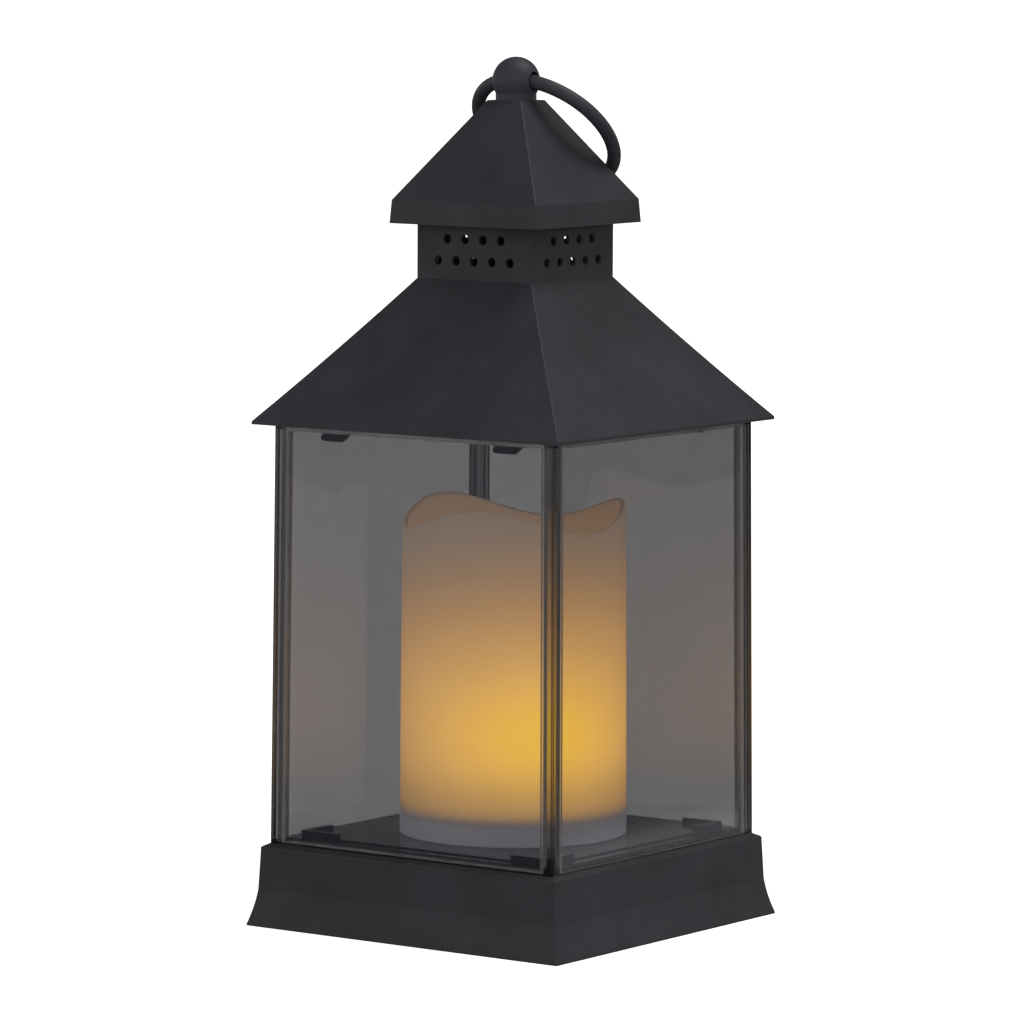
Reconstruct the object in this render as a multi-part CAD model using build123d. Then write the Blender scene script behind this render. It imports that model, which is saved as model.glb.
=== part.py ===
from build123d import *
import os
from math import atan2, cos, radians, sin, sqrt

# Candle lantern with a battery candle. Millimetres, +Z up.
# Origin: centre of the base, on the surface that the lantern stands on.
# Front window faces -Y, right window faces +X.

os.makedirs("parts", exist_ok=True)

# ---------------------------------------------------------------- driving dimensions
# Base
BASE_HALF = 52.5           # half side at the floor
BASE_LIP = 0.4             # upright edge at the floor
COVE_HALF = 50.2           # half side where the flare ends
COVE_TOP = 10.1
COVE_SAG = 0.25            # hollow of the flare
RIM_HALF = 49.7
RIM_TOP = 21.0
SHOULDER_HALF = 49.1       # end of the rounded rim, start of the sloped ledge
SHOULDER_Z = 22.1
SEAT_Z = 22.8              # ledge that carries the window cage
DECK_HALF = 41.6
DECK_TOP = 24.8
RIB_TOP = 26.2             # corner ribs on the deck, which locate the window cage
RIB_END = 29.4             # they run from the corners to here
RIB_THICK = 1.6
WALL = 2.0
ARRIS = 0.35               # rounding of moulded upright edges

# Window cage
CAGE_HALF_LOW = 47.75
CAGE_HALF_HIGH = 46.87
CAGE_TOP = 138.3
CAGE_WALL = 2.4            # sill
HEAD_WALL = 3.4            # the head is deeper, and holds the panes and the roof's hooks
POST_WIDTH = 4.2           # corner posts, solid and square
POST_REBATE = 0.6          # cut back behind the lip on each side, for the panes
SILL_TOP = 23.6
HEAD_BOTTOM = 136.7
FLANGE_HALF = 41.9
FLANGE_TOP = 24.4
PANE_INSET = 1.0           # pane face behind the post face
PANE_THICK = 1.4
PANE_GAP = 0.1

# Roof, vent collar and cap
EAVE_HALF = 51.5
EAVE_LIP = 0.8
NECK_HALF = 19.3
NECK_Z = 178.0
ROOF_SAG = 0.32
ROOF_WALL = 1.8
COLLAR_TOP = 193.0
COLLAR_WALL = 1.0
COLLAR_CORNER = 0.4
VENT_RADIUS = 1.3
VENT_PITCH = 6.0
VENT_ROWS = ((183.2, 5), (189.1, 4))
CAP_HALF = 24.75
SKIRT_HALF = 24.3
SKIRT_TOP = 199.4
CAP_TOP_HALF = 5.7
CAP_TOP = 226.5
CAP_WALL = 1.6

# Finial and ring
BALL_RADIUS = 6.55
BALL_Z = 231.8
FINIAL_FOOT_RADIUS = 5.6
RING_RADIUS = 20.5
RING_TUBE = 1.9
RING_LEAN = 45.0           # from straight down, towards +Y
RING_HOLE_RADIUS = 2.55
RING_OFFSET = 0.48         # the ring's line passes the hole's axis by this

# Candle
CANDLE_RADIUS_LOW = 31.35
CANDLE_RADIUS_HIGH = 30.8
CANDLE_RIM = 113.3         # mean height of the wavy rim
CANDLE_WALL = 1.6
WAVE_HEIGHT = 3.36
WAVE_CREST = 48.0          # angle of one of the three crests, from +X
WELL_DEPTH = 17.0
CANDLE_BASE_HEIGHT = 7.8
LED_TOP = 57.5

# Base internals
COVER_HALF = 49.4
COVER_LOW = 1.0
COVER_HIGH = 3.0
CELL_RADIUS = 5.25         # AAA cell
CELL_LENGTH = 44.5
CELL_PITCH = 11.3
CELL_Z = 8.9
BAY_Y = -9.0
BAY_HALF_LENGTH = 25.3
BAY_HALF_WIDTH = 17.6
BAY_CEILING = 14.5
BAY_WALL = 1.6
DOOR_GAP = 0.3
BOSS_PLACE = 41.0
BOARD_X = -8.0
BOARD_Y = 25.0
BOARD_LOW = 12.0
BOARD_THICK = 1.2
SWITCH_X = 26.0
SWITCH_Y = 26.0

FAR = 80.0                 # longer than any half side
SNUG = 0.05                # screw shanks in their holes


# ---------------------------------------------------------------- helpers
def square(half, corner=0.0):
    if corner:
        return RectangleRounded(2 * half, 2 * half, corner)
    return Rectangle(2 * half, 2 * half)


def frustum(half_low, half_high, z_low, z_high, corner=0.0):
    """Square block, half_low at z_low and half_high at z_high."""
    low = Pos(0, 0, z_low) * square(half_low, corner)
    high = Pos(0, 0, z_high) * square(half_high, corner)
    return loft([low, high], ruled=True)


def block(x_range, y_range, z_range):
    size = [high - low for low, high in (x_range, y_range, z_range)]
    middle = [(high + low) / 2 for low, high in (x_range, y_range, z_range)]
    return Pos(*middle) * Box(*size)


def post(x, y, radius, z_low, z_high):
    return Pos(x, y, (z_low + z_high) / 2) * Cylinder(radius, z_high - z_low)


def sagged(start, end, sag):
    """Arc between two points of an outline, bowed by sag towards the axis and down."""
    dx, dz = end[0] - start[0], end[1] - start[1]
    length = sqrt(dx * dx + dz * dz)
    middle = ((start[0] + end[0]) / 2 - sag * dz / length, (start[1] + end[1]) / 2 + sag * dx / length)
    return ThreePointArc(start, middle, end)


def four_sided(right_edges):
    """Square solid whose four sides all follow the same outline of (half side, height)."""
    right = Curve() + right_edges
    outline = right + mirror(right, about=Plane.YZ)
    slab = extrude(Plane.XZ * make_face(outline), amount=FAR, both=True)
    return slab & (Rot(0, 0, 90) * slab)


def soften_arrises(solid, radius):
    """Round the upright edges, which lie on the two diagonals."""
    arrises = [edge for edge in solid.edges() if is_arris(edge)]
    return fillet(arrises, radius)


def is_arris(edge):
    low, high = edge @ 0, edge @ 1
    on_diagonal = all(abs(abs(p.X) - abs(p.Y)) < 1e-4 for p in (low, high, edge @ 0.5))
    return on_diagonal and abs(high.Z - low.Z) > 1e-3


def four_turns(piece):
    return [Rot(0, 0, 90 * turn) * piece for turn in range(4)]


def group(pieces):
    """Separate solids kept in one node."""
    return Compound(children=[solid for piece in pieces for solid in piece.solids()])


def cage_half(z):
    share = (z - SEAT_Z) / (CAGE_TOP - SEAT_Z)
    return CAGE_HALF_LOW + (CAGE_HALF_HIGH - CAGE_HALF_LOW) * share


def cage_frustum(inset, z_low, z_high, corner=0.0):
    return frustum(cage_half(z_low) - inset, cage_half(z_high) - inset, z_low, z_high, corner)


# ---------------------------------------------------------------- base
def base_outline():
    cove_low, cove_high = (BASE_HALF, BASE_LIP), (COVE_HALF, COVE_TOP)
    rim, shoulder = (RIM_HALF, RIM_TOP), (SHOULDER_HALF, SHOULDER_Z)
    return [
        Polyline((0, 0), (BASE_HALF, 0), cove_low),
        sagged(cove_low, cove_high, COVE_SAG),
        Line(cove_high, rim),
        RadiusArc(rim, shoulder, -0.9),
        Polyline(shoulder, (CAGE_HALF_LOW, SEAT_Z), (DECK_HALF, SEAT_Z)),
        Polyline((DECK_HALF, SEAT_Z), (DECK_HALF, DECK_TOP), (0, DECK_TOP)),
    ]


def make_base_shell():
    shell = soften_arrises(four_sided(base_outline()), ARRIS)
    under_seat = SEAT_Z - WALL
    shell -= frustum(BASE_HALF - WALL, COVE_HALF - WALL, -BASE_LIP, COVE_TOP)
    shell -= frustum(COVE_HALF - WALL, RIM_HALF - WALL, COVE_TOP, under_seat)
    shell -= frustum(DECK_HALF - WALL, DECK_HALF - WALL, COVE_TOP, DECK_TOP - WALL)
    boss_low = COVER_HIGH + 0.2
    for x in (-BOSS_PLACE, BOSS_PLACE):
        for y in (-BOSS_PLACE, BOSS_PLACE):
            shell += post(x, y, 3.4, boss_low, under_seat + 0.5)
            shell -= post(x, y, 1.15 + SNUG, boss_low - 1, 13.5)
            shell += boss_rib(x, y, boss_low, under_seat)
    for x in (-15, 15):
        shell -= post(x, 0, 1.5, DECK_TOP - 4, DECK_TOP + 1)
    shell -= post(0, 0, 2.2, DECK_TOP - 4, DECK_TOP + 1)
    for slot in four_turns(block((-5.2, 5.2), (-44.4, -41.9), (under_seat - 1, SEAT_Z + 1))):
        shell -= slot
    for rib in four_turns(make_corner_rib()):
        shell += rib
    return shell


def make_corner_rib():
    """L-shaped rib on one corner of the deck."""
    rib = block((RIB_END, DECK_HALF), (RIB_END, DECK_HALF), (DECK_TOP - 0.5, RIB_TOP))
    inner = DECK_HALF - RIB_THICK
    return rib - block((0, inner), (0, inner), (0, FAR))


def boss_rib(x, y, z_low, z_high):
    """Web from a screw boss to the side wall."""
    side = 1 if x > 0 else -1
    inner, outer = sorted((x + side * 3.0, side * (COVE_HALF - WALL + 0.5)))
    return block((inner, outer), (y - 0.6, y + 0.6), (COVE_TOP, z_high + 0.5))


def make_bottom_cover():
    cover = Pos(0, 0, COVER_LOW) * extrude(square(COVER_HALF, 2.0), amount=COVER_HIGH - COVER_LOW)
    wall_x, wall_y = BAY_HALF_LENGTH + BAY_WALL, BAY_HALF_WIDTH + BAY_WALL
    bay_top = BAY_CEILING + BAY_WALL
    cover += block((-wall_x, wall_x), (BAY_Y - wall_y, BAY_Y + wall_y), (COVER_LOW + 1, bay_top))
    for side in (-1, 1):
        cover += post(BOARD_X + 11 * side, BOARD_Y, 2.4, COVER_HIGH - 0.5, BOARD_LOW)
        cover -= post(BOARD_X + 11 * side, BOARD_Y, 0.85 + SNUG, 5.5, BOARD_LOW + 1)
    bay_y = (BAY_Y - BAY_HALF_WIDTH, BAY_Y + BAY_HALF_WIDTH)
    cover -= block((-BAY_HALF_LENGTH, BAY_HALF_LENGTH), bay_y, (0, BAY_CEILING))
    lip_x, lip_y = BAY_HALF_LENGTH + DOOR_GAP, BAY_HALF_WIDTH + 1.3
    cover -= block((-lip_x, lip_x), (BAY_Y - lip_y, BAY_Y + lip_y), (0, COVER_HIGH))
    for side in (-1, 1):
        tab_y = sorted((BAY_Y + side * 15.2, BAY_Y + side * 17.7))
        cover -= block((-lip_x - 2.4, -BAY_HALF_LENGTH + 1), tab_y, (COVER_HIGH, 5.2))
    cover -= block((24.9, BAY_HALF_LENGTH + 0.2), lug_range(-1), (BAY_CEILING - 1, 20))
    cover -= block((-BAY_HALF_LENGTH - 0.2, -24.9), lug_range(1), (BAY_CEILING - 1, 20))
    cover -= post(BAY_HALF_LENGTH + 1.2, BAY_Y, 5.5, 0, COVER_LOW + 1.0)
    for x in (-BOSS_PLACE, BOSS_PLACE):
        for y in (-BOSS_PLACE, BOSS_PLACE):
            cover -= post(x, y, 1.5, 0, 5)
            cover -= post(x, y, 3.1, 0, COVER_LOW + 1.1)
    cover -= block((SWITCH_X - 3.6, SWITCH_X + 3.6), (SWITCH_Y - 1.7, SWITCH_Y + 1.7), (0, 5))
    return cover


def cell_y(index):
    return BAY_Y + CELL_PITCH * index


def lug_range(index):
    return (cell_y(index) - 1.6, cell_y(index) + 1.6)


def make_cover_screws():
    screws = []
    for x in (-BOSS_PLACE, BOSS_PLACE):
        for y in (-BOSS_PLACE, BOSS_PLACE):
            screw = post(x, y, 2.8, COVER_LOW + 0.1, COVER_LOW + 1.1)
            screw += post(x, y, 1.15, COVER_LOW + 1.0, 12.5)
            screws.append(cross_slot(screw, x, y, COVER_LOW + 0.1, 0.6, 3.2))
    return group(screws)


def cross_slot(screw, x, y, z, depth, length):
    """Crosshead recess cut into the screw's lower face at z."""
    for wide, deep in ((length, 0.7), (0.7, length)):
        screw -= block((x - wide / 2, x + wide / 2), (y - deep / 2, y + deep / 2), (z - 1, z + depth))
    return screw


def make_battery_door():
    half_x, half_y = BAY_HALF_LENGTH, BAY_HALF_WIDTH + 1.0
    door = Pos(0, BAY_Y, COVER_LOW) * extrude(Rectangle(2 * half_x, 2 * half_y), amount=1.6)
    for side in (-1, 1):
        tab_y = sorted((BAY_Y + side * 15.4, BAY_Y + side * 17.4))
        door += block((-half_x + 0.1, -half_x + 1.5), tab_y, (2.0, 3.9))
        door += block((-half_x - 2.2, -half_x + 1.5), tab_y, (3.15, 3.9))
    door += block((23.2, 24.4), (BAY_Y - 5.0, BAY_Y - 3.0), (2.0, 5.3))
    door += block((23.2, 24.4), (BAY_Y + 3.0, BAY_Y + 5.0), (2.0, 5.3))
    for index in range(5):
        x = 12 + 2 * index
        door += block((x, x + 0.8), (BAY_Y - 6, BAY_Y + 6), (COVER_LOW - 0.35, COVER_LOW + 0.2))
    return door


def make_cells():
    cells = []
    for index in (-1, 0, 1):
        way = -1 if index else 1
        cell = Rot(0, 90, 0) * (Pos(0, 0, -0.5) * Cylinder(CELL_RADIUS, CELL_LENGTH - 1.0))
        cell = fillet(cell.edges().filter_by(GeomType.CIRCLE), 0.4)
        cell += Rot(0, 90, 0) * (Pos(0, 0, (CELL_LENGTH - 2.0) / 2) * Cylinder(1.9, 2.0))
        turn = 0 if way < 0 else 180
        cells.append(Pos(-way * 1.8, cell_y(index), CELL_Z) * Rot(0, 0, turn) * cell)
    return group(cells)


def make_springs():
    """Coil at the flat end of each cell."""
    springs = []
    for index in (-1, 0, 1):
        side = 1 if index == 0 else -1
        coil = Helix(pitch=1.35, height=3.6, radius=3.3)
        tube = sweep(Plane(coil @ 0, z_dir=coil % 0) * Circle(0.3), path=coil, is_frenet=True)
        spring = Rot(0, -90, 0) * (Pos(0, 0, -24.55) * tube)
        turn = 0 if side > 0 else 180
        springs.append(Pos(0, cell_y(index), CELL_Z) * Rot(0, 0, turn) * spring)
    return group(springs)


def make_contacts():
    """Two single plates with solder lugs and two plates that bridge neighbouring cells."""
    outer, inner = BAY_HALF_LENGTH - 0.05, BAY_HALF_LENGTH - 0.4
    plates = []
    for side in (-1, 1):
        x_range = sorted((side * outer, side * inner))
        single, bridge = -side, ((0, 1) if side > 0 else (-1, 0))
        plate = block(x_range, (cell_y(single) - 4, cell_y(single) + 4), (5.4, 13.2))
        plate += block(x_range, (cell_y(single) - 1.3, cell_y(single) + 1.3), (13.0, 18.0))
        plates.append(plate)
        plates.append(block(x_range, (cell_y(bridge[0]) - 3.9, cell_y(bridge[1]) + 3.9), (5.4, 13.2)))
    return group(plates)


def make_driver_board():
    board = Pos(BOARD_X, BOARD_Y, BOARD_LOW) * extrude(RectangleRounded(30, 16, 1), amount=BOARD_THICK)
    for side in (-1, 1):
        board -= post(BOARD_X + 11 * side, BOARD_Y, 1.0, BOARD_LOW - 1, BOARD_LOW + 3)
    return board


def make_board_screws():
    top = BOARD_LOW + BOARD_THICK
    screws = []
    for side in (-1, 1):
        x = BOARD_X + 11 * side
        screws.append(post(x, BOARD_Y, 1.9, top, top + 1.2) + post(x, BOARD_Y, 0.85, 6.5, top + 0.1))
    return group(screws)


def make_board_parts():
    top = BOARD_LOW + BOARD_THICK
    chip = block((BOARD_X - 2.5, BOARD_X + 2.5), (BOARD_Y - 1, BOARD_Y + 3), (top, top + 1.5))
    capacitor = post(BOARD_X - 5.6, BOARD_Y + 4.6, 2.4, top, top + 3.8)
    crystal = block((BOARD_X + 1, BOARD_X + 7), (BOARD_Y + 4.4, BOARD_Y + 6.8), (top, top + 2.2))
    resistors = []
    for index in range(3):
        x = BOARD_X - 7 + 4.4 * index
        resistors.append(block((x, x + 3.1), (BOARD_Y - 7.2, BOARD_Y - 5.7), (top, top + 0.6)))
    return group([chip, capacitor, crystal] + resistors)


def make_switch_body():
    body = block((SWITCH_X - 6.2, SWITCH_X + 6.2), (SWITCH_Y - 3, SWITCH_Y + 3), (3.05, 8.2))
    body -= block((SWITCH_X - 4.9, SWITCH_X + 4.9), (SWITCH_Y - 2.1, SWITCH_Y + 2.1), (4.2, 7.2))
    body -= block((SWITCH_X - 3.6, SWITCH_X + 3.6), (SWITCH_Y - 1.3, SWITCH_Y + 1.3), (2, 5))
    for index in (-1, 0, 1):
        x = SWITCH_X + 2.5 * index
        body += block((x - 0.5, x + 0.5), (SWITCH_Y - 0.2, SWITCH_Y + 0.2), (8.0, 10.2))
    return body


def make_switch_knob():
    """Stands at the end towards -X, which is the ON position."""
    x = SWITCH_X - 1.5
    knob = block((x - 3.1, x + 3.1), (SWITCH_Y - 1.8, SWITCH_Y + 1.8), (4.5, 6.9))
    knob += block((x - 1.8, x + 1.8), (SWITCH_Y - 1.0, SWITCH_Y + 1.0), (1.3, 5.0))
    for index in (-1, 0, 1):
        knob -= block((x + index - 0.2, x + index + 0.2), (SWITCH_Y - 2, SWITCH_Y + 2), (1.0, 1.6))
    return knob


def wire(points, bend=1.7, radius=0.55):
    path = FilletPolyline(*points, radius=bend)
    return sweep(Plane(path @ 0, z_dir=path % 0) * Circle(radius), path=path)


def make_battery_wires():
    top, over, row = BOARD_LOW + BOARD_THICK, 17.2, BOARD_Y - 4.3
    plus_x, minus_x, lug = BOARD_X + 12.0, BOARD_X - 12.5, BAY_HALF_LENGTH - 0.98
    plus = wire([(lug, cell_y(-1), over), (19, cell_y(-1), over), (19, row, over),
                 (plus_x, row, over), (plus_x, row, top)])
    minus = wire([(-lug, cell_y(1), over), (minus_x, cell_y(1), over), (minus_x, row, over),
                  (minus_x, row, top)])
    return group([plus, minus])


def make_switch_wires():
    top, over, end_x = BOARD_LOW + BOARD_THICK, 15.8, BOARD_X + 13.2
    first = wire([(SWITCH_X - 2.5, SWITCH_Y, 10.25), (SWITCH_X - 2.5, SWITCH_Y, over),
                  (end_x, SWITCH_Y, over), (end_x, SWITCH_Y, top)])
    second = wire([(SWITCH_X, SWITCH_Y, 10.25), (SWITCH_X, SWITCH_Y, over),
                   (SWITCH_X, SWITCH_Y + 4, over), (end_x, SWITCH_Y + 4, over), (end_x, SWITCH_Y + 4, top)])
    return group([first, second])


def make_led_wires():
    top, over, row = BOARD_LOW + BOARD_THICK, 18.6, BOARD_Y - 3.2
    wires = []
    for side in (-1, 1):
        x = 0.7 * side
        start_x = x - 1.5
        wires.append(wire([(start_x, row, top), (start_x, row, over), (x, 0, over), (x, 0, LED_TOP - 9.2)]))
    return group(wires)


# ---------------------------------------------------------------- windows
def make_window_cage():
    cage = cage_frustum(0, SEAT_Z, CAGE_TOP, corner=ARRIS)
    cage -= cage_core(HEAD_WALL) & block((-FAR, FAR), (-FAR, FAR), (HEAD_BOTTOM, CAGE_TOP + 1))
    behind_lip = cage_core(PANE_INSET - PANE_GAP)
    for turn in (0, 90):
        cage -= Rot(0, 0, turn) * between_posts(0, SILL_TOP, HEAD_BOTTOM)
        cage -= behind_lip & Rot(0, 0, turn) * between_posts(POST_REBATE, SILL_TOP, HEAD_BOTTOM)
        cage -= cage_core(CAGE_WALL) & Rot(0, 0, turn) * between_posts(0, SEAT_Z - 1, SILL_TOP + 1)
    flange = cage_frustum(CAGE_WALL - 0.5, SEAT_Z, FLANGE_TOP)
    cage += flange - frustum(FLANGE_HALF, FLANGE_HALF, 0, 100)
    for slot in four_turns(pane_slab(PANE_GAP, SILL_TOP - 0.5, CAGE_TOP + 1)):
        cage -= slot
    for tab in four_turns(make_cage_tab()):
        cage += tab
    return cage


def cage_core(inset):
    """Space inside the cage, from below its foot to above its head."""
    return frustum(cage_half(0) - inset, cage_half(160) - inset, 0, 160)


def between_posts(margin, z_low, z_high):
    """Space between the posts right through two opposite walls, as tapered as the posts."""
    low = Pos(0, 0, z_low) * Rectangle(2 * (cage_half(z_low) - POST_WIDTH + margin), 2 * FAR)
    high = Pos(0, 0, z_high) * Rectangle(2 * (cage_half(z_high) - POST_WIDTH + margin), 2 * FAR)
    return loft([low, high], ruled=True)


def pane_slab(margin, z_low, z_high):
    """Slab behind the lips of the front face, margin larger than a pane all round."""
    slab = cage_core(PANE_INSET - margin) - cage_core(PANE_INSET + PANE_THICK + margin)
    slab &= between_posts(POST_REBATE - PANE_GAP + margin, z_low, z_high)
    return slab & block((-FAR, FAR), (-FAR, 0), (z_low, z_high))


def make_cage_tab():
    """Snap tab through the slot in the base's ledge."""
    tab = block((-5, 5), (-43.9, -42.3), (SEAT_Z - 3.8, SEAT_Z + 0.5))
    return tab + block((-5, 5), (-44.6, -43.8), (SEAT_Z - 3.8, SEAT_Z - 2.4))


def make_pane():
    return pane_slab(0, SILL_TOP - 0.4, CAGE_TOP - 0.4)


# ---------------------------------------------------------------- candle
def wave_height(x, y):
    """Height of the wavy cutting surface: three crests round the rim, level in the middle."""
    angle, distance = atan2(y, x), sqrt(x * x + y * y) / CANDLE_RADIUS_HIGH
    return CANDLE_RIM + WAVE_HEIGHT * distance ** 3 * cos(3 * (angle - radians(WAVE_CREST)))


def wave_cutter():
    reach, count = 36.0, 13
    steps = [-reach + 2 * reach * i / (count - 1) for i in range(count)]
    grid = [[Vector(x, y, wave_height(x, y)) for y in steps] for x in steps]
    surface = Face.make_surface_from_array_of_points(grid)
    return extrude(surface, amount=60, dir=(0, 0, 1))


def candle_cone(inset, z_low, z_high):
    """Cone of the candle's taper, inset from its outer face."""
    def radius(z):
        share = (z - DECK_TOP) / (CANDLE_RIM - DECK_TOP)
        return CANDLE_RADIUS_LOW + (CANDLE_RADIUS_HIGH - CANDLE_RADIUS_LOW) * share - inset
    return Pos(0, 0, (z_low + z_high) / 2) * Cone(radius(z_low), radius(z_high), z_high - z_low)


def make_candle_shell():
    shell = candle_cone(0, DECK_TOP, CANDLE_RIM + 8)
    well_floor = CANDLE_RIM - WELL_DEPTH
    shell -= candle_cone(CANDLE_WALL, DECK_TOP - 1, well_floor - 1.6)
    shell -= candle_cone(CANDLE_WALL, well_floor, CANDLE_RIM + 12)
    return shell - wave_cutter()


def make_candle_base():
    top = DECK_TOP + CANDLE_BASE_HEIGHT
    cup = candle_cone(CANDLE_WALL + 0.15, DECK_TOP, top)
    cup -= candle_cone(CANDLE_WALL + 1.8, DECK_TOP - 1, top - 1.6)
    for x in (-15, 15):
        cup += post(x, 0, 3.0, DECK_TOP, top - 1)
        cup -= post(x, 0, 1.2 + SNUG, DECK_TOP - 1, top - 2)
    cup -= post(0, 0, 2.2, DECK_TOP, top + 1)
    return cup


def make_candle_screws():
    under = DECK_TOP - WALL
    screws = []
    for x in (-15, 15):
        screw = post(x, 0, 2.7, under - 1.6, under) + post(x, 0, 1.2, under - 0.1, DECK_TOP + 5)
        screws.append(cross_slot(screw, x, 0, under - 1.6, 0.8, 3.0))
    return group(screws)


def make_led_holder():
    foot = DECK_TOP + CANDLE_BASE_HEIGHT
    holder = post(0, 0, 6.0, foot, foot + 1.6) + post(0, 0, 3.9, foot, LED_TOP - 8.6)
    for turn in (0, 90):
        fin = block((-5.6, 5.6), (-0.6, 0.6), (foot, foot + 6))
        holder += Rot(0, 0, turn + 45) * fin
    return holder - post(0, 0, 2.2, foot - 1, LED_TOP)


def make_led():
    foot, radius = LED_TOP - 8.6, 2.5
    lens = post(0, 0, radius, foot, LED_TOP - radius) + Pos(0, 0, LED_TOP - radius) * Sphere(radius)
    lens += post(0, 0, 2.9, foot, foot + 1.0)
    return lens


# ---------------------------------------------------------------- roof
def roof_outline():
    eave, neck = (EAVE_HALF, CAGE_TOP + EAVE_LIP), (NECK_HALF, NECK_Z)
    return [
        Polyline((0, CAGE_TOP), (EAVE_HALF, CAGE_TOP), eave),
        sagged(eave, neck, ROOF_SAG),
        Line(neck, (0, NECK_Z)),
    ]


def make_roof():
    roof = soften_arrises(four_sided(roof_outline()), ARRIS)
    low, high = CAGE_TOP + 1.6, NECK_Z - 1.6
    roof -= frustum(inner_roof_half(low), inner_roof_half(high), low, high)
    roof -= frustum(40.5, 40.5, CAGE_TOP - 1, CAGE_TOP + 3)
    neck = NECK_HALF - COLLAR_WALL
    roof -= frustum(neck, neck, NECK_Z - 4, NECK_Z + 1, corner=1.2)
    for turn in (0, 180):
        for x in (-28.9, 28.9):
            roof += Rot(0, 0, turn) * (Pos(x, 0, 0) * make_roof_hook())
    return roof


def inner_roof_half(z):
    """Half side of the roof's inside at a height."""
    run, rise = EAVE_HALF - NECK_HALF, NECK_Z - CAGE_TOP - EAVE_LIP
    across = ROOF_WALL * sqrt(run * run + rise * rise) / rise
    return EAVE_HALF - across - run * (z - CAGE_TOP - EAVE_LIP) / rise - ROOF_SAG


def make_roof_hook():
    """Snap hook that hangs inside the front wall, with a slanted +X edge."""
    top, bottom, step = CAGE_TOP + 0.8, 134.2, 136.3
    outline = Polyline((-8.9, top), (-8.9, step + 0.6), (-4.2, step), (-4.2, bottom), (2.2, bottom),
                       (4.6, step), (8.9, step + 0.6), (8.9, top), close=True)
    plate = Pos(0, -42.0, 0) * extrude(Plane.XZ * make_face(outline), amount=1.2)
    barb = block((-4.2, 2.2), (-44.1, -43.1), (bottom + 0.4, bottom + 1.7))
    return plate + barb


def make_vent_collar():
    collar = frustum(NECK_HALF, NECK_HALF, NECK_Z, COLLAR_TOP, corner=COLLAR_CORNER)
    plug = NECK_HALF - COLLAR_WALL - 0.1
    collar += frustum(plug, plug, NECK_Z - 3.2, COLLAR_TOP + 3.0, corner=1.1)
    bore = plug - COLLAR_WALL
    collar -= frustum(bore, bore, NECK_Z - 5, COLLAR_TOP + 5, corner=0.8)
    wide = NECK_HALF - COLLAR_WALL
    collar -= frustum(wide, wide, NECK_Z + 1.2, COLLAR_TOP - 1.2, corner=1.0)
    for z, count in VENT_ROWS:
        for index in range(count):
            across = VENT_PITCH * (index - (count - 1) / 2)
            vent = Pos(across, 0, z) * (Rot(90, 0, 0) * Cylinder(VENT_RADIUS, 4 * NECK_HALF))
            collar -= vent
            collar -= Rot(0, 0, 90) * vent
    return collar


def make_cap():
    cap = frustum(CAP_HALF, SKIRT_HALF, COLLAR_TOP, SKIRT_TOP, corner=ARRIS)
    cap += frustum(SKIRT_HALF, CAP_TOP_HALF, SKIRT_TOP, CAP_TOP, corner=ARRIS)
    cap -= frustum(CAP_HALF - CAP_WALL, SKIRT_HALF - CAP_WALL, COLLAR_TOP + 1.4, SKIRT_TOP - 0.4)
    cap -= frustum(SKIRT_HALF - CAP_WALL, 4.2, SKIRT_TOP - 0.5, CAP_TOP - 2.4)
    neck = NECK_HALF - COLLAR_WALL
    cap -= frustum(neck, neck, COLLAR_TOP - 1, COLLAR_TOP + 3, corner=1.2)
    return cap - post(0, 0, 2.0 + SNUG, CAP_TOP - 5, CAP_TOP + 1)


def make_finial():
    finial = Pos(0, 0, BALL_Z) * Sphere(BALL_RADIUS)
    finial &= post(0, 0, 2 * BALL_RADIUS, CAP_TOP, BALL_Z + 2 * BALL_RADIUS)
    finial += post(0, 0, FINIAL_FOOT_RADIUS, CAP_TOP, CAP_TOP + 2.6)
    finial += post(0, 0, 2.0, CAP_TOP - 4.2, CAP_TOP + 0.5)
    hole = Rot(0, 90, 0) * Cylinder(RING_HOLE_RADIUS, 4 * BALL_RADIUS)
    return finial - Pos(0, 0, BALL_Z) * hole


def make_ring():
    lean = radians(RING_LEAN)
    down = Vector(0, sin(lean), -cos(lean))
    centre = Vector(0, 0, BALL_Z) + down * (RING_RADIUS - RING_OFFSET)
    plane = Plane(origin=centre, x_dir=(1, 0, 0), z_dir=Vector(1, 0, 0).cross(down))
    return plane * Torus(RING_RADIUS, RING_TUBE)


# ---------------------------------------------------------------- export
def make_nodes():
    nodes = {
        "base_shell": make_base_shell(),
        "bottom_cover": make_bottom_cover(),
        "bottom_cover_screws": make_cover_screws(),
        "battery_door": make_battery_door(),
        "aaa_cells": make_cells(),
        "battery_springs": make_springs(),
        "battery_contacts": make_contacts(),
        "driver_board": make_driver_board(),
        "driver_board_screws": make_board_screws(),
        "driver_board_parts": make_board_parts(),
        "slide_switch_body": make_switch_body(),
        "slide_switch_knob": make_switch_knob(),
        "battery_wires": make_battery_wires(),
        "switch_wires": make_switch_wires(),
        "led_wires": make_led_wires(),
        "window_cage": make_window_cage(),
        "candle_shell": make_candle_shell(),
        "candle_base": make_candle_base(),
        "candle_screws": make_candle_screws(),
        "led_holder": make_led_holder(),
        "amber_led": make_led(),
        "roof": make_roof(),
        "vent_collar": make_vent_collar(),
        "cap": make_cap(),
        "finial": make_finial(),
        "ring_handle": make_ring(),
    }
    panes = four_turns(make_pane())
    for side, pane in zip(("front", "right", "back", "left"), panes):
        nodes["window_pane_" + side] = pane
    return nodes


for name, shape in make_nodes().items():
    export_step(shape, os.path.join("parts", name + ".step"))
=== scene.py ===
from math import cos, hypot, pi, radians, sin

import bpy
from mathutils import Matrix, Vector


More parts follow.
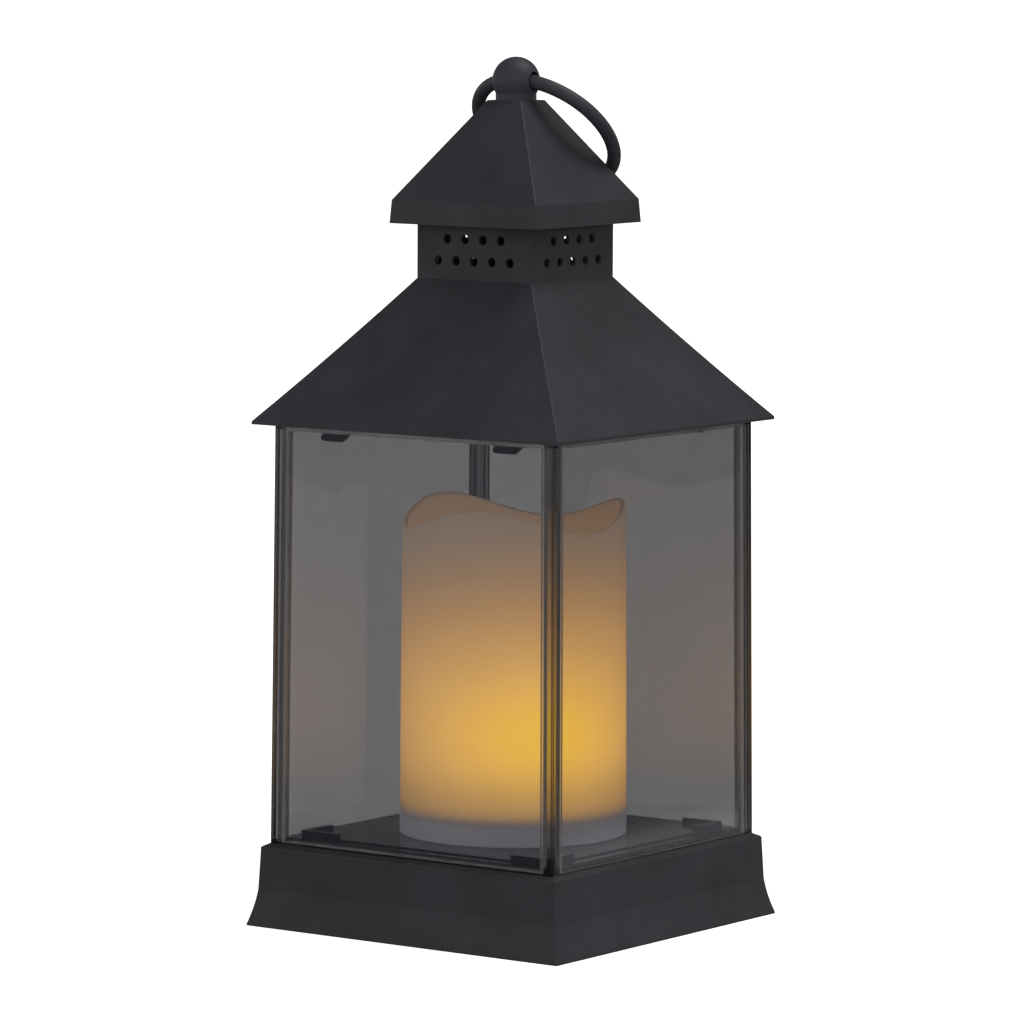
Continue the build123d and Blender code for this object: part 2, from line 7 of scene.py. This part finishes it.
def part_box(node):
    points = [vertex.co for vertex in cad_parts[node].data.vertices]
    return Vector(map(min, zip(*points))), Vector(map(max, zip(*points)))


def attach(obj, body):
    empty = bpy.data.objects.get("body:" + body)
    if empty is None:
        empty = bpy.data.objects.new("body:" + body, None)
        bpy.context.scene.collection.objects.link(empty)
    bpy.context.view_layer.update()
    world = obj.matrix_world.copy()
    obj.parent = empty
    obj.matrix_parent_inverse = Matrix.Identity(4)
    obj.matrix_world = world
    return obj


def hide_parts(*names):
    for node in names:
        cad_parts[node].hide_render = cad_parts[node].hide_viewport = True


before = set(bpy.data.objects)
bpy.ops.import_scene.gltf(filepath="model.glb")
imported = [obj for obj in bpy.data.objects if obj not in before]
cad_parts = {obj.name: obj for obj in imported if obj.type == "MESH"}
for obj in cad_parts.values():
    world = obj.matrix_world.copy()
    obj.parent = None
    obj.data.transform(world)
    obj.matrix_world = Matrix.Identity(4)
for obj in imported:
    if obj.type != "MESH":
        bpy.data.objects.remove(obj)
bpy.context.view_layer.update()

# Candle lantern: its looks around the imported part. Metres, in the part's own frame:
# +Z up from the floor, the front window towards -Y and the right window towards +X.

MM = 0.001

# ---------------------------------------------------------------- camera
AZIMUTH = radians(35.95)    # from the front window towards the right one
ELEVATION = radians(5.92)
ROLL = radians(0.246)
DISTANCE = 1.664
LENS = 212.7
SENSOR_WIDTH = 36
VIEW_LIMIT = 300
LOOK_ACROSS = -0.00064      # point looked at: a little to the left of the axis, and above the floor
LOOK_HEIGHT = 0.11337

# ---------------------------------------------------------------- light
WHITE = (1.0, 1.0, 1.0)
WORLD_LIGHT = 1.0
WORLD_SEEN = 1.0
HORIZON_IN_GLOSS = 1.3
SKY_IN_GLOSS = 0.03
HORIZON_TOP = 0.11          # sines of the elevations between which the horizon fades into the sky
SKY_FOOT = 0.20

# Name, place, height aimed at, width and power of each lamp.
LAMPS = [
    ("key", (0.95, 0.7, 2.6), 0.12, 1.4, 38),
    ("fill", (-1.2, -1.9, 0.7), 0.12, 1.6, 4),
    ("front", (1.3, -1.8, 0.9), 0.15, 1.0, 6),
]

# ---------------------------------------------------------------- floor
FLOOR_SIZE = 120
FLOOR_GLOW = 0.85           # makes the floor as white as the world around it
FLOOR_DARK = (0.38, 0.38, 0.38)
FLOOR_LIGHT = (0.40, 0.40, 0.40)
# Floor as gloss sees it. One ramp runs from the front left, which the front window mirrors, to
# the back right, which the right window mirrors. The other runs outwards from the right side.
TO_BACK_RIGHT = (0.59, 0.81, 0)
MIRRORED_ALONG = (-0.6, 0.4)
MIRRORED_FRONT_TO_BACK = [
    (0.00, (0.09, 0.09, 0.10)),
    (1.00, (0.00, 0.00, 0.00)),
]
MIRRORED_ACROSS = (0.05, 0.175)
MIRRORED_BESIDE = [
    (0.00, (0.00, 0.00, 0.00)),
    (0.20, (0.22, 0.22, 0.23)),
    (0.80, (0.22, 0.22, 0.23)),
    (1.00, (0.00, 0.00, 0.00)),
]

# ---------------------------------------------------------------- candle, which stands on the deck
CANDLE_FOOT, CANDLE_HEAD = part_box("candle_shell")
CANDLE_LOW = CANDLE_FOOT.z
CANDLE_RADIUS_LOW = CANDLE_HEAD.x
CANDLE_RADIUS_HIGH = CANDLE_RADIUS_LOW - 0.55 * MM
CANDLE_TURNS = 192          # steps round the shell
CANDLE_WALL = 1.6 * MM
WAVE_HEIGHT = 3.36 * MM
WAVE_CREST = radians(48)
CRESTS = 3
RIM_MEAN = CANDLE_HEAD.z - WAVE_HEIGHT
WELL_FLOOR = RIM_MEAN - 17 * MM
WELL_CORNER = 3 * MM        # rounding between the well's floor and wall
FOOT_CORNER = 0.5 * MM
BAND_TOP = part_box("candle_base")[1].z

# Its glow fades with the distance from a point off the axis, between the near and the far distance.
GLOW_CENTRE = (8.9 * MM, -8.0 * MM, 55 * MM)
GLOW_NEAR = 19 * MM
GLOW_FAR = 67 * MM
LAMPLIGHT_TINT_FAR = 45 * MM          # where the painted lamplight in the wax's base colour fades out
GLOW = [
    (0.00, (2.62, 1.50, 0.14)),
    (0.08, (2.26, 1.24, 0.21)),
    (0.17, (1.86, 1.01, 0.24)),
    (0.30, (1.43, 0.76, 0.21)),
    (0.45, (1.05, 0.55, 0.18)),
    (0.62, (0.70, 0.39, 0.17)),
    (0.80, (0.49, 0.33, 0.21)),
    (1.00, (0.37, 0.27, 0.19)),
]
# Share of the glow that is left, from just under the top of the candle's plug upwards.
BAND_LOW = BAND_TOP - 2.6 * MM
BAND_HIGH = BAND_TOP + 17.4 * MM
BAND_CUT = [
    (0.00, (0.00, 0.00, 0.00)),
    (0.12, (0.50, 0.50, 0.50)),
    (0.28, (0.70, 0.70, 0.70)),
    (0.75, (0.95, 0.95, 0.95)),
    (1.00, (1.00, 1.00, 1.00)),
]
SCATTER = (0.20, 0.20, 0.22)     # daylight that the unlit foot passes on
# Base colour of the wax next to the lamp: painted lamplight, warmer than the wax's own colour.
LAMPLIGHT_ON_WAX = (0.62, 0.44, 0.22)
WAX = (0.74, 0.67, 0.60)
WAX_AT_FOOT = (0.74, 0.74, 0.78)

# ---------------------------------------------------------------- textures
# Noise mostly stays between these levels, so colours and roughness are spread over them.
NOISE_LOW = 0.3
NOISE_HIGH = 0.7
GRAIN = 0.02 * MM           # depth of the grain on moulded plastic
SCRATCH = 0.01 * MM
DECK_TOP = CANDLE_LOW
POLISHED_HALF = 1.0 * MM    # the deck is polished this far up and down from POLISHED_MIDDLE
POLISHED_MIDDLE = DECK_TOP + 0.7 * MM
POLISHED_SHARE = 0.15       # of the grain and roughness elsewhere


class Nodes:
    """Short calls for wiring a node tree. A value is an output, a number or a colour."""

    def __init__(self, tree):
        self.tree = tree

    def add(self, kind, **settings):
        made = self.tree.nodes.new(kind)
        for key, value in settings.items():
            setattr(made, key, value)
        return made

    def put(self, value, socket):
        if isinstance(value, bpy.types.NodeSocket):
            self.tree.links.new(value, socket)
        elif isinstance(value, tuple):
            socket.default_value = (*value, 1.0)
        else:
            socket.default_value = value

    def maths(self, operation, *values):
        made = self.add("ShaderNodeMath", operation=operation)
        for socket, value in zip(made.inputs, values):
            self.put(value, socket)
        return made.outputs["Value"]

    def span(self, value, low, high, to_low=0.0, to_high=1.0):
        """Maps low..high to to_low..to_high, held at the ends."""
        made = self.add("ShaderNodeMapRange")
        sockets = ("Value", "From Min", "From Max", "To Min", "To Max")
        for socket, number in zip(sockets, (value, low, high, to_low, to_high)):
            self.put(number, made.inputs[socket])
        return made.outputs["Result"]

    def ramp(self, value, stops):
        made = self.add("ShaderNodeValToRGB")
        elements = made.color_ramp.elements
        while len(elements) < len(stops):
            elements.new(0.5)
        for element, (position, colour) in zip(elements, stops):
            element.position = position
            element.color = (*colour, 1.0)
        self.put(value, made.inputs["Fac"])
        return made.outputs["Color"]

    def choose(self, share, first, second):
        """Number between first and second."""
        made = self.add("ShaderNodeMix")
        for name, value in (("Factor", share), ("A", first), ("B", second)):
            self.put(value, made.inputs[name])
        return made.outputs["Result"]

    def blend(self, share, first, second, how="MIX"):
        """Colour between first and second."""
        made = self.add("ShaderNodeMix", data_type="RGBA", blend_type=how)
        self.put(share, made.inputs["Factor"])
        for socket, colour in zip(self.colours(made.inputs), (first, second)):
            self.put(colour, socket)
        return self.colours(made.outputs)[0]

    def product(self, first, second):
        """Colour times colour."""
        return self.blend(1.0, first, second, how="MULTIPLY")

    def total(self, first, second):
        """Colour plus colour."""
        return self.blend(1.0, first, second, how="ADD")

    @staticmethod
    def colours(sockets):
        return [socket for socket in sockets if socket.type == "RGBA"]


class Surface(Nodes):
    """A material: one Principled shader fed by procedural textures that lie in the part's own frame."""

    def __init__(self, name, **sockets):
        self.material = bpy.data.materials.new(name)
        self.material.use_nodes = True
        super().__init__(self.material.node_tree)
        self.shader = self.tree.nodes["Principled BSDF"]
        self.place = self.add("ShaderNodeTexCoord").outputs["Object"]
        for socket, value in sockets.items():
            self.feed(socket.replace("_", " "), value)

    def feed(self, socket, value):
        self.put(value, self.shader.inputs[socket])

    def stretched(self, stretch):
        """The place with each axis scaled, so that a texture is finer or coarser along it."""
        made = self.add("ShaderNodeVectorMath", operation="MULTIPLY")
        self.put(self.place, made.inputs[0])
        made.inputs[1].default_value = stretch
        return made.outputs["Vector"]

    def noise(self, per_metre, detail=3.0, stretch=None):
        made = self.add("ShaderNodeTexNoise")
        self.put(self.stretched(stretch) if stretch else self.place, made.inputs["Vector"])
        made.inputs["Scale"].default_value = per_metre
        made.inputs["Detail"].default_value = detail
        return made.outputs["Fac"]

    def cells(self, per_metre):
        made = self.add("ShaderNodeTexVoronoi", feature="F1")
        self.put(self.place, made.inputs["Vector"])
        made.inputs["Scale"].default_value = per_metre
        return made.outputs["Distance"]

    def mottle(self, noise, dark, light):
        """Colour that drifts between dark and light with a noise."""
        return self.ramp(noise, [(NOISE_LOW, dark), (NOISE_HIGH, light)])

    def axis(self, name):
        made = self.add("ShaderNodeSeparateXYZ")
        self.put(self.place, made.inputs["Vector"])
        return made.outputs[name]

    def from_point(self, operation, point):
        """The place's distance from a point, or its dot product with it."""
        made = self.add("ShaderNodeVectorMath", operation=operation)
        self.put(self.place, made.inputs[0])
        made.inputs[1].default_value = point
        return made.outputs["Value"]

    def bump(self, height, depth):
        made = self.add("ShaderNodeBump")
        made.inputs["Strength"].default_value = 1.0
        made.inputs["Distance"].default_value = depth
        self.put(height, made.inputs["Height"])
        self.feed("Normal", made.outputs["Normal"])


# ---------------------------------------------------------------- materials
def moulded_plastic(name, dark, light, rough, with_polished_deck=False):
    """Opaque moulded plastic with a fine eroded grain and faint mottling."""
    surface = Surface(name, Specular_IOR_Level=0.3)
    surface.feed("Base Color", surface.mottle(surface.noise(55, detail=5), dark, light))
    drift = surface.noise(140, detail=4)
    roughness = surface.span(drift, NOISE_LOW, NOISE_HIGH, rough - 0.05, rough + 0.06)
    pits = surface.maths("MULTIPLY", surface.cells(1900), 0.6)
    height = surface.maths("ADD", surface.noise(2600, detail=2), pits)
    if with_polished_deck:
        off = surface.maths("ABSOLUTE", surface.maths("SUBTRACT", surface.axis("Z"), POLISHED_MIDDLE))
        eroded = surface.span(off, POLISHED_HALF, 1.1 * POLISHED_HALF, POLISHED_SHARE, 1.0)
        roughness = surface.maths("MULTIPLY", roughness, eroded)
        height = surface.maths("MULTIPLY", height, eroded)
    surface.feed("Roughness", roughness)
    surface.bump(height, GRAIN)
    return surface.material


def window_plastic():
    """Smoke-tinted clear sheet: a dark glossy shader seen partly through, with a trace of haze."""
    surface = Surface("window_plastic", Alpha=0.47, IOR=1.9, Specular_IOR_Level=1.0)
    tint = surface.mottle(surface.noise(30), (0.005, 0.004, 0.010), (0.007, 0.006, 0.013))
    surface.feed("Base Color", tint)
    surface.feed("Roughness", surface.span(surface.noise(90, detail=4), 0.35, 0.7, 0.03, 0.06))
    surface.bump(surface.noise(38, detail=1), 0.03 * MM)
    return surface.material


def frame_plastic():
    """The same smoke-tinted plastic in thick mouldings, darker the further one looks through it."""
    surface = Surface("frame_plastic", IOR=1.49, Transmission_Weight=1.0)
    surface.feed("Base Color", surface.mottle(surface.noise(60), (0.95, 0.95, 0.96), WHITE))
    surface.feed("Roughness", surface.span(surface.noise(120, detail=4), 0.35, 0.7, 0.13, 0.19))
    tint = surface.add("ShaderNodeVolumeAbsorption")
    tint.inputs["Color"].default_value = (0.02, 0.01, 0.02, 1)
    tint.inputs["Density"].default_value = 470
    surface.put(tint.outputs["Volume"], surface.tree.nodes["Material Output"].inputs["Volume"])
    return surface.material


def candle_plastic(name, strength):
    """Wax-like shell. It glows by its distance from the lamp, and stays unlit below the band."""
    surface = Surface(name, Roughness=0.48, Specular_IOR_Level=0.35, Emission_Strength=strength)
    distance = surface.from_point("DISTANCE", GLOW_CENTRE)
    height = surface.axis("Z")
    glow = surface.ramp(surface.span(distance, GLOW_NEAR, GLOW_FAR), GLOW)
    cut = surface.ramp(surface.span(height, BAND_LOW, BAND_HIGH), BAND_CUT)
    drift = surface.mottle(surface.noise(26, detail=2), (0.95, 0.95, 0.95), (1.03, 1.03, 1.03))
    lit = surface.product(surface.product(glow, cut), drift)
    above_foot = surface.span(height, BAND_TOP - 3 * MM, BAND_TOP + 1 * MM)
    surface.feed("Emission Color", surface.blend(above_foot, SCATTER, lit))
    # Painted lamplight: the base colour turns warm towards the lamp and fades to the plain wax colour.
    painted_lamplight = surface.ramp(surface.span(distance, GLOW_NEAR, LAMPLIGHT_TINT_FAR), [(0.0, LAMPLIGHT_ON_WAX), (1.0, WAX)])
    above_band = surface.span(height, BAND_TOP - 3 * MM, BAND_TOP + 6 * MM)
    mottle = surface.mottle(surface.noise(120, detail=5), (0.92, 0.92, 0.92), WHITE)
    surface.feed("Base Color", surface.product(surface.blend(above_band, WAX_AT_FOOT, painted_lamplight), mottle))
    waviness = surface.maths("ADD", surface.noise(90, detail=3), surface.noise(700, detail=2))
    surface.bump(waviness, 0.05 * MM)
    return surface.material


def bare_metal(name, dark, light, rough, brushed=(1, 1, 1)):
    """Metal with streaks, which are longer along an axis where brushed is lower."""
    surface = Surface(name, Metallic=1.0)
    streaks = surface.noise(900, detail=4, stretch=brushed)
    surface.feed("Base Color", surface.mottle(streaks, dark, light))
    surface.feed("Roughness", surface.span(streaks, NOISE_LOW, NOISE_HIGH, rough - 0.06, rough + 0.08))
    surface.bump(streaks, SCRATCH)
    return surface.material


def cell_jacket():
    """Plain printed sleeve in two colours, with bare steel at both ends of each cell."""
    copper, black = (0.30, 0.16, 0.05), (0.03, 0.035, 0.04)
    surface = Surface("cell_jacket", Metallic=1.0)
    low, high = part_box("aaa_cells")
    along = surface.axis("X")
    sleeve_end = high.x - 3.4 * MM
    bare = surface.span(surface.maths("ABSOLUTE", along), sleeve_end, sleeve_end + 0.1 * MM)
    streaks = surface.noise(700, detail=3, stretch=(0.1, 1, 1))
    sleeve = surface.ramp(surface.span(along, low.x, high.x),
                          [(0.00, copper), (0.32, copper), (0.33, black), (1.00, black)])
    steel = surface.mottle(streaks, (0.42, 0.42, 0.43), (0.60, 0.60, 0.60))
    surface.feed("Base Color", surface.blend(bare, sleeve, steel))
    surface.feed("Roughness", surface.span(streaks, NOISE_LOW, NOISE_HIGH, 0.28, 0.42))
    surface.bump(streaks, SCRATCH)
    return surface.material


def circuit_board():
    """Green solder mask over copper tracks."""
    surface = Surface("circuit_board", Specular_IOR_Level=0.5)
    tracks = surface.add("ShaderNodeTexBrick")
    settings = (
        ("Vector", surface.place), ("Scale", 160), ("Mortar Size", 0.06),
        ("Color1", (0.012, 0.10, 0.035)), ("Color2", (0.014, 0.12, 0.042)), ("Mortar", (0.05, 0.24, 0.08)),
    )
    for socket, value in settings:
        surface.put(value, tracks.inputs[socket])
    surface.feed("Base Color", tracks.outputs["Color"])
    surface.feed("Roughness", surface.span(surface.noise(400), NOISE_LOW, NOISE_HIGH, 0.3, 0.42))
    surface.bump(tracks.outputs["Fac"], 0.03 * MM)
    return surface.material


def wire_insulation():
    """Smooth PVC, red on one side of the board's middle and black on the other."""
    change = -7.5 * MM
    surface = Surface("wire_insulation", Specular_IOR_Level=0.5)
    drift = surface.noise(300, detail=3)
    side = surface.span(surface.axis("X"), change, change + 0.1 * MM)
    black = surface.mottle(drift, (0.012, 0.012, 0.013), (0.022, 0.022, 0.024))
    red = surface.mottle(drift, (0.40, 0.012, 0.010), (0.52, 0.022, 0.016))
    surface.feed("Base Color", surface.blend(side, black, red))
    surface.feed("Roughness", surface.span(drift, NOISE_LOW, NOISE_HIGH, 0.36, 0.48))
    surface.bump(surface.noise(1500), SCRATCH)
    return surface.material


def lamp_lens():
    """Diffused amber epoxy, lit."""
    surface = Surface("led_lens", Specular_IOR_Level=0.5, Emission_Strength=3.0)
    haze = surface.noise(900, detail=3)
    surface.feed("Base Color", surface.mottle(haze, (0.85, 0.42, 0.06), (0.92, 0.50, 0.09)))
    surface.feed("Emission Color", surface.mottle(haze, (1.0, 0.50, 0.08), (1.0, 0.60, 0.12)))
    surface.feed("Roughness", surface.span(haze, NOISE_LOW, NOISE_HIGH, 0.22, 0.34))
    surface.bump(haze, SCRATCH)
    return surface.material


def dress(material, *names):
    """Give CAD nodes their finish."""
    for name in names:
        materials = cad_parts[name].data.materials
        materials.clear()
        materials.append(material)


def dress_nodes():
    dress(moulded_plastic("body_plastic", (0.0178, 0.0172, 0.0218), (0.0243, 0.0235, 0.0296), 0.55,
                          with_polished_deck=True),
          "base_shell", "roof", "vent_collar", "cap")
    dress(moulded_plastic("ring_plastic", (0.0245, 0.0237, 0.0300), (0.0335, 0.0323, 0.0405), 0.55),
          "finial", "ring_handle")
    dress(frame_plastic(), "window_cage")
    dress(window_plastic(),
          "window_pane_front", "window_pane_right", "window_pane_back", "window_pane_left")
    dress(moulded_plastic("candle_base_plastic", (0.08, 0.08, 0.088), (0.10, 0.10, 0.11), 0.5),
          "candle_base")
    dress(moulded_plastic("cover_plastic", (0.018, 0.018, 0.020), (0.024, 0.024, 0.027), 0.5),
          "bottom_cover", "battery_door")
    dress(bare_metal("screw_steel", (0.45, 0.45, 0.46), (0.62, 0.62, 0.63), 0.32),
          "bottom_cover_screws", "candle_screws", "driver_board_screws")
    dress(bare_metal("contact_nickel", (0.58, 0.57, 0.54), (0.70, 0.69, 0.66), 0.2, (1, 0.2, 1)),
          "battery_springs", "battery_contacts")
    dress(cell_jacket(), "aaa_cells")
    dress(circuit_board(), "driver_board")
    dress(moulded_plastic("component_body", (0.012, 0.012, 0.013), (0.02, 0.02, 0.022), 0.4),
          "driver_board_parts", "slide_switch_body")
    dress(moulded_plastic("switch_plastic", (0.03, 0.03, 0.034), (0.045, 0.045, 0.05), 0.45),
          "slide_switch_knob")
    dress(wire_insulation(), "battery_wires", "switch_wires", "led_wires")
    dress(moulded_plastic("holder_plastic", (0.62, 0.60, 0.55), (0.72, 0.70, 0.65), 0.45),
          "led_holder")
    dress(lamp_lens(), "amber_led")


# ---------------------------------------------------------------- candle
def rim_height(angle):
    return RIM_MEAN + WAVE_HEIGHT * cos(CRESTS * (angle - WAVE_CREST))


def outer_radius(z):
    share = (z - CANDLE_LOW) / (RIM_MEAN - CANDLE_LOW)
    return CANDLE_RADIUS_LOW + (CANDLE_RADIUS_HIGH - CANDLE_RADIUS_LOW) * share


def arc(across, z, radius, start, end, steps):
    """Points round a centre, from one angle in degrees to another; 0 is outwards and 90 is up."""
    angles = [radians(start + (end - start) * step / steps) for step in range(steps + 1)]
    return [(across + radius * cos(angle), z + radius * sin(angle)) for angle in angles]


def candle_profile(angle):
    """Radius and height from the middle of the well's floor, over the rim and up under the floor again."""
    half_wall = CANDLE_WALL / 2
    rim = rim_height(angle)
    rim_start = rim - half_wall
    bore = outer_radius(WELL_FLOOR) - CANDLE_WALL
    points = [(bore * share, WELL_FLOOR) for share in (0, 0.25, 0.5, 0.75, 0.86)]
    wall_low = WELL_FLOOR + WELL_CORNER
    points += arc(bore - WELL_CORNER, wall_low, WELL_CORNER, -90, 0, steps=5)
    for share in (0.2, 0.4, 0.6, 0.8, 0.93):
        z = wall_low + (rim_start - wall_low) * share
        points.append((outer_radius(z) - CANDLE_WALL, z))
    points += arc(outer_radius(rim) - half_wall, rim_start, half_wall, 180, 0, steps=8)
    for share in (0.97, 0.9, 0.8, 0.7, 0.6, 0.5, 0.4, 0.3, 0.2, 0.1):
        z = CANDLE_LOW + (rim_start - CANDLE_LOW) * share
        points.append((outer_radius(z), z))
    foot = outer_radius(CANDLE_LOW)
    points += arc(foot - FOOT_CORNER, CANDLE_LOW + FOOT_CORNER, FOOT_CORNER, 0, -90, steps=4)
    under = WELL_FLOOR - CANDLE_WALL
    for z in (CANDLE_LOW, (CANDLE_LOW + under) / 2, under):
        points.append((outer_radius(z) - CANDLE_WALL, z))
    return points + [(foot / 2, under), (0, under)]


def point_index(row, turn):
    """Place in the mesh of a profile point that isn't on the axis."""
    return 1 + (row - 1) * CANDLE_TURNS + turn % CANDLE_TURNS


def candle_mesh():
    """Closed shell turned round the axis: a point, rings of points, and a point."""
    angles = [2 * pi * turn / CANDLE_TURNS for turn in range(CANDLE_TURNS)]
    profiles = [candle_profile(angle) for angle in angles]
    last_row = len(profiles[0]) - 1
    points = [(0, 0, profiles[0][0][1])]
    for row in range(1, last_row):
        for angle, profile in zip(angles, profiles):
            radius, z = profile[row]
            points.append((radius * cos(angle), radius * sin(angle), z))
    points.append((0, 0, profiles[0][last_row][1]))
    last_point = len(points) - 1
    faces = []
    for turn in range(CANDLE_TURNS):
        faces.append((0, point_index(1, turn), point_index(1, turn + 1)))
        faces.append((last_point, point_index(last_row - 1, turn + 1), point_index(last_row - 1, turn)))
        for row in range(1, last_row - 1):
            faces.append((point_index(row, turn), point_index(row + 1, turn),
                          point_index(row + 1, turn + 1), point_index(row, turn + 1)))
    mesh = bpy.data.meshes.new("candle")
    mesh.from_pydata(points, [], faces)
    mesh.shade_smooth()
    return mesh


def in_well(face):
    """Whether a face is on the inner side of the open hollow in the candle's top."""
    x, y, z = face.center
    above_floor = z > WELL_FLOOR - 0.1 * MM
    looks_inwards = face.normal.x * x + face.normal.y * y <= 0
    return above_floor and looks_inwards and hypot(x, y) < outer_radius(z) - CANDLE_WALL / 2


def make_candle():
    mesh = candle_mesh()
    mesh.materials.append(candle_plastic("candle_plastic", 1.0))
    mesh.materials.append(candle_plastic("candle_well", 0.7))
    for face in mesh.polygons:
        face.material_index = 1 if in_well(face) else 0
    candle = bpy.data.objects.new("candle", mesh)
    bpy.context.collection.objects.link(candle)
    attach(candle, "root")
    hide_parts("candle_shell")


# ---------------------------------------------------------------- stage, light, camera
def make_floor():
    """White floor, dimmer in reflections."""
    bpy.ops.mesh.primitive_plane_add(size=FLOOR_SIZE)
    floor = bpy.context.object
    floor.name = "floor"
    surface = Surface("floor", Roughness=0.9, Specular_IOR_Level=0.0, Emission_Color=WHITE)
    pale = surface.ramp(surface.noise(2), [(0.0, FLOOR_DARK), (1.0, FLOOR_LIGHT)])
    along = surface.span(surface.from_point("DOT_PRODUCT", TO_BACK_RIGHT), *MIRRORED_ALONG)
    across = surface.span(surface.axis("X"), *MIRRORED_ACROSS)
    mirrored = surface.total(surface.ramp(along, MIRRORED_FRONT_TO_BACK),
                             surface.ramp(across, MIRRORED_BESIDE))
    path = surface.add("ShaderNodeLightPath").outputs
    surface.feed("Base Color", surface.blend(path["Is Glossy Ray"], pale, mirrored))
    seen = surface.maths("MAXIMUM", path["Is Camera Ray"], path["Is Transmission Ray"])
    surface.feed("Emission Strength", surface.maths("MULTIPLY", seen, FLOOR_GLOW))
    floor.data.materials.append(surface.material)


def make_world():
    """White to the eye and for the light it gives. In reflections only its horizon is bright."""
    world = bpy.data.worlds.new("world")
    bpy.context.scene.world = world
    world.use_nodes = True
    nodes = Nodes(world.node_tree)
    direction = nodes.add("ShaderNodeSeparateXYZ")
    nodes.put(nodes.add("ShaderNodeTexCoord").outputs["Generated"], direction.inputs["Vector"])
    in_gloss = nodes.span(direction.outputs["Z"], HORIZON_TOP, SKY_FOOT, HORIZON_IN_GLOSS, SKY_IN_GLOSS)
    path = nodes.add("ShaderNodeLightPath").outputs
    level = nodes.choose(path["Is Glossy Ray"], WORLD_LIGHT, in_gloss)
    level = nodes.choose(path["Is Transmission Ray"], level, WORLD_SEEN)
    level = nodes.choose(path["Is Camera Ray"], level, WORLD_SEEN)
    background = world.node_tree.nodes["Background"]
    nodes.put(WHITE, background.inputs["Color"])
    nodes.put(level, background.inputs["Strength"])


def make_lamp(name, place, aim_height, size, power):
    light = bpy.data.lights.new(name, "AREA")
    light.shape = "DISK"
    light.size = size
    light.energy = power
    lamp = bpy.data.objects.new(name, light)
    bpy.context.collection.objects.link(lamp)
    lamp.location = place
    aim = Vector((0, 0, aim_height)) - Vector(place)
    lamp.rotation_euler = aim.to_track_quat("-Z", "Y").to_euler()


def make_camera():
    lens = bpy.data.cameras.new("camera")
    lens.lens = LENS
    lens.sensor_width = SENSOR_WIDTH
    lens.clip_end = VIEW_LIMIT
    camera = bpy.data.objects.new("camera", lens)
    bpy.context.collection.objects.link(camera)
    back = Vector((sin(AZIMUTH) * cos(ELEVATION), -cos(AZIMUTH) * cos(ELEVATION), sin(ELEVATION)))
    right = Vector((cos(AZIMUTH), sin(AZIMUTH), 0))
    turn = Matrix((right, back.cross(right), back)).transposed() @ Matrix.Rotation(ROLL, 3, "Z")
    place = right * LOOK_ACROSS + Vector((0, 0, LOOK_HEIGHT)) + back * DISTANCE
    camera.matrix_world = Matrix.Translation(place) @ turn.to_4x4()
    bpy.context.scene.camera = camera


# ---------------------------------------------------------------- build
bpy.context.scene.view_settings.view_transform = "Standard"

make_camera()
dress_nodes()
make_candle()
make_floor()
make_world()
for lamp in LAMPS:
    make_lamp(*lamp)
